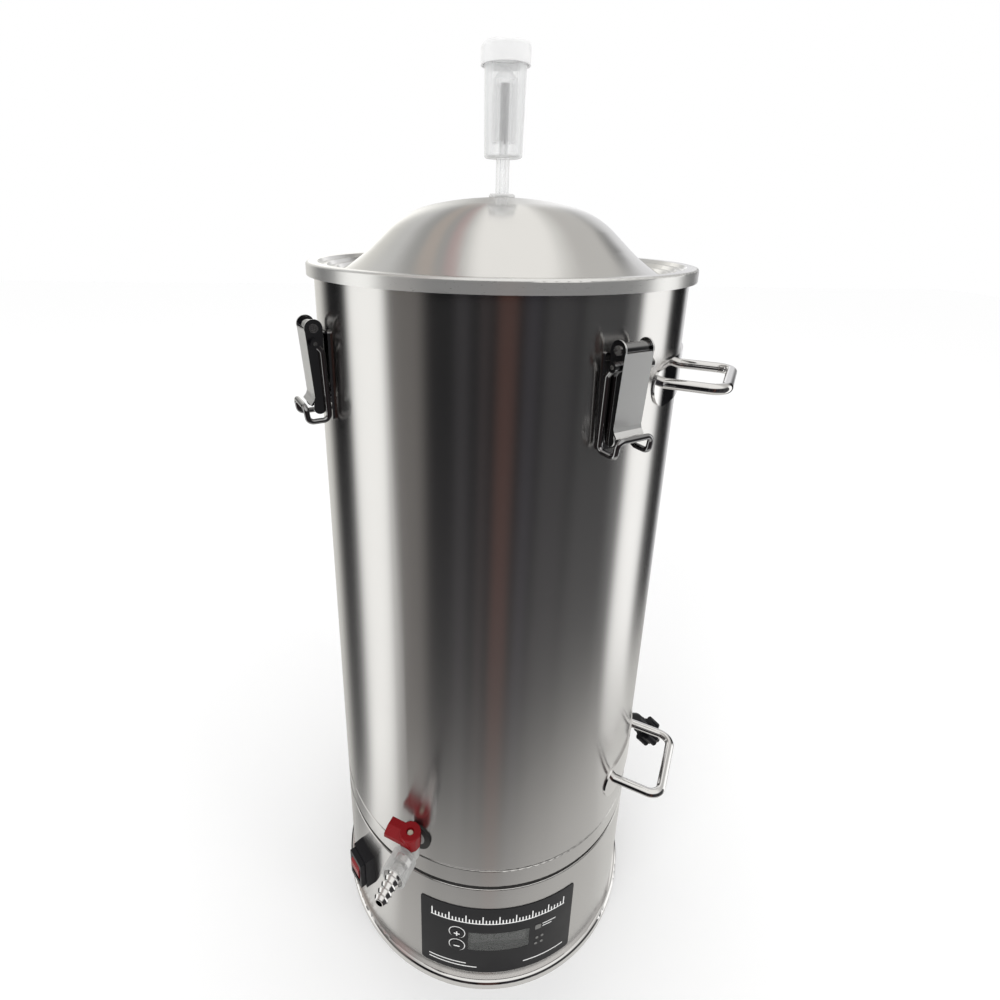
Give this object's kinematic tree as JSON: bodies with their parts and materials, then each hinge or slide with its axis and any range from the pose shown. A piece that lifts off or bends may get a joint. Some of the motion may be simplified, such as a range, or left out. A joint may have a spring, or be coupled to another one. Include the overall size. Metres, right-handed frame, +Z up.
{
  "type": "electric all-in-one brewer",
  "caption": "Tall stainless brewing vessel on a heated electronic base, with clip-down domed lid, airlock, lever tap, carrying handles, display panel and rocker switch.",
  "frame": {"origin": "on the vessel's axis, in the plane the foot ring stands on", "axes": "+Z up along the vessel's axis, -Y out through the middle of the control panel, +X to the right when facing the panel"},
  "size_m": [0.3589, 0.3469, 0.813],
  "materials": {
    "brushed_steel": "brushed round the axis",
    "polished_steel": "polished stainless",
    "plain_steel": "satin",
    "black_rubber": "matt",
    "clear_silicone": "translucent",
    "clear_plastic": "clear, gloss",
    "natural_plastic": "satin",
    "red_plastic": "satin gloss",
    "black_plastic": "fine texture",
    "panel_black": "printed film, satin",
    "window_clear": "clear, gloss",
    "display_grey": "reflective display",
    "print_white": "light print on the film and the button signs",
    "lamp_grey": "lamp, unlit",
    "board_green": "solder mask",
    "aluminium_plate": "machined"
  },
  "bodies": {
    "base": {"band_gasket": "black_rubber", "base_plate": "plain_steel", "base_shell": "brushed_steel", "board_posts": "natural_plastic", "control_board": "board_green", "control_panel": "panel_black", "display_window": "window_clear", "foot_ring": "polished_steel", "handle_lower_left": "polished_steel", "handle_lower_right": "polished_steel", "handle_plates": "polished_steel", "handle_upper_left": "polished_steel", "handle_upper_right": "polished_steel", "heat_spreader": "aluminium_plate", "heating_element": "plain_steel", "indicator_leds": "lamp_grey", "joint_band": "brushed_steel", "latch_brackets": "polished_steel", "latch_pins": "plain_steel", "lcd_module": "display_grey", "machine_screws": "plain_steel", "panel_print": "print_white", "power_inlet": "black_plastic", "rubber_feet": "black_rubber", "side_port_backnut": "plain_steel", "side_port_elbow": "black_plastic", "side_port_nut": "black_plastic", "side_port_stub": "plain_steel", "side_port_washer": "black_rubber", "switch_housing": "black_plastic", "tap_backnut": "plain_steel", "tap_body": "clear_plastic", "tap_nozzle": "polished_steel", "tap_washer": "black_rubber", "temperature_probe": "plain_steel", "thermal_cutout": "black_plastic", "vessel": "brushed_steel"},
    "tap_valve": {"tap_plug": "natural_plastic", "tap_handle": "red_plastic"},
    "plus_button": {"button_plus": "panel_black"},
    "minus_button": {"button_minus": "panel_black"},
    "rocker": {"switch_rocker": "red_plastic"},
    "lid": {"lid": "polished_steel", "lid_seal": "clear_silicone", "lid_grommet": "clear_silicone"},
    "airlock": {"airlock_body": "clear_plastic"},
    "bell": {"airlock_bell": "clear_plastic"},
    "cap": {"airlock_cap": "clear_plastic"},
    "lever_a": {"latch_a_lever": "polished_steel", "latch_a_hook_pin": "plain_steel"},
    "hook_a": {"latch_a_hook": "polished_steel"},
    "lever_b": {"latch_b_lever": "polished_steel", "latch_b_hook_pin": "plain_steel"},
    "hook_b": {"latch_b_hook": "polished_steel"},
    "lever_c": {"latch_c_lever": "polished_steel", "latch_c_hook_pin": "plain_steel"},
    "hook_c": {"latch_c_hook": "polished_steel"},
    "lever_d": {"latch_d_lever": "polished_steel", "latch_d_hook_pin": "plain_steel"},
    "hook_d": {"latch_d_hook": "polished_steel"}
  },
  "joints": [
    {"name": "lid_lift", "type": "slide", "parent": "base", "child": "lid", "axis": [0, 0, 1], "range_m": [0, 0.2]},
    {"name": "airlock_lift", "type": "slide", "parent": "lid", "child": "airlock", "axis": [0, 0, 1], "range_m": [0, 0.06]},
    {"name": "bell_float", "type": "slide", "parent": "airlock", "child": "bell", "axis": [0, 0, 1], "range_m": [0, 0.012]},
    {"name": "cap_lift", "type": "slide", "parent": "airlock", "child": "cap", "axis": [0, 0, 1], "range_m": [0, 0.03]},
    {"name": "lever_a_turn", "type": "hinge", "parent": "base", "child": "lever_a", "pos_m": [0.06783, -0.14546, 0.6137], "axis": [-0.9063, -0.4226, 0], "range_deg": [0, 165]},
    {"name": "hook_a_swing", "type": "hinge", "parent": "lever_a", "child": "hook_a", "pos_m": [0.06804, -0.14592, 0.6035], "axis": [-0.9063, -0.4226, 0], "range_deg": [0, 25]},
    {"name": "lever_b_turn", "type": "hinge", "parent": "base", "child": "lever_b", "pos_m": [0.14546, 0.06783, 0.6137], "axis": [0.4226, -0.9063, 0], "range_deg": [0, 165]},
    {"name": "hook_b_swing", "type": "hinge", "parent": "lever_b", "child": "hook_b", "pos_m": [0.14592, 0.06804, 0.6035], "axis": [0.4226, -0.9063, 0], "range_deg": [0, 25]},
    {"name": "lever_c_turn", "type": "hinge", "parent": "base", "child": "lever_c", "pos_m": [-0.06783, 0.14546, 0.6137], "axis": [0.9063, 0.4226, 0], "range_deg": [0, 165]},
    {"name": "hook_c_swing", "type": "hinge", "parent": "lever_c", "child": "hook_c", "pos_m": [-0.06804, 0.14592, 0.6035], "axis": [0.9063, 0.4226, 0], "range_deg": [0, 25]},
    {"name": "lever_d_turn", "type": "hinge", "parent": "base", "child": "lever_d", "pos_m": [-0.14546, -0.06783, 0.6137], "axis": [-0.4226, 0.9063, 0], "range_deg": [0, 165]},
    {"name": "hook_d_swing", "type": "hinge", "parent": "lever_d", "child": "hook_d", "pos_m": [-0.14592, -0.06804, 0.6035], "axis": [-0.4226, 0.9063, 0], "range_deg": [0, 25]},
    {"name": "tap_turn", "type": "hinge", "parent": "base", "child": "tap_valve", "pos_m": [-0.07869, -0.14023, 0.178], "axis": [0, 0, 1], "range_deg": [0, 90]},
    {"name": "plus_press", "type": "slide", "parent": "base", "child": "plus_button", "axis": [0.2554, 0.9668, 0], "range_m": [0, 0.0008]},
    {"name": "minus_press", "type": "slide", "parent": "base", "child": "minus_button", "axis": [0.2554, 0.9668, 0], "range_m": [0, 0.0008]},
    {"name": "rocker_flip", "type": "hinge", "parent": "base", "child": "rocker", "pos_m": [-0.12903, -0.08768, 0.0815], "axis": [-0.5621, 0.8271, 0], "range_deg": [0, 16]}
  ]
}
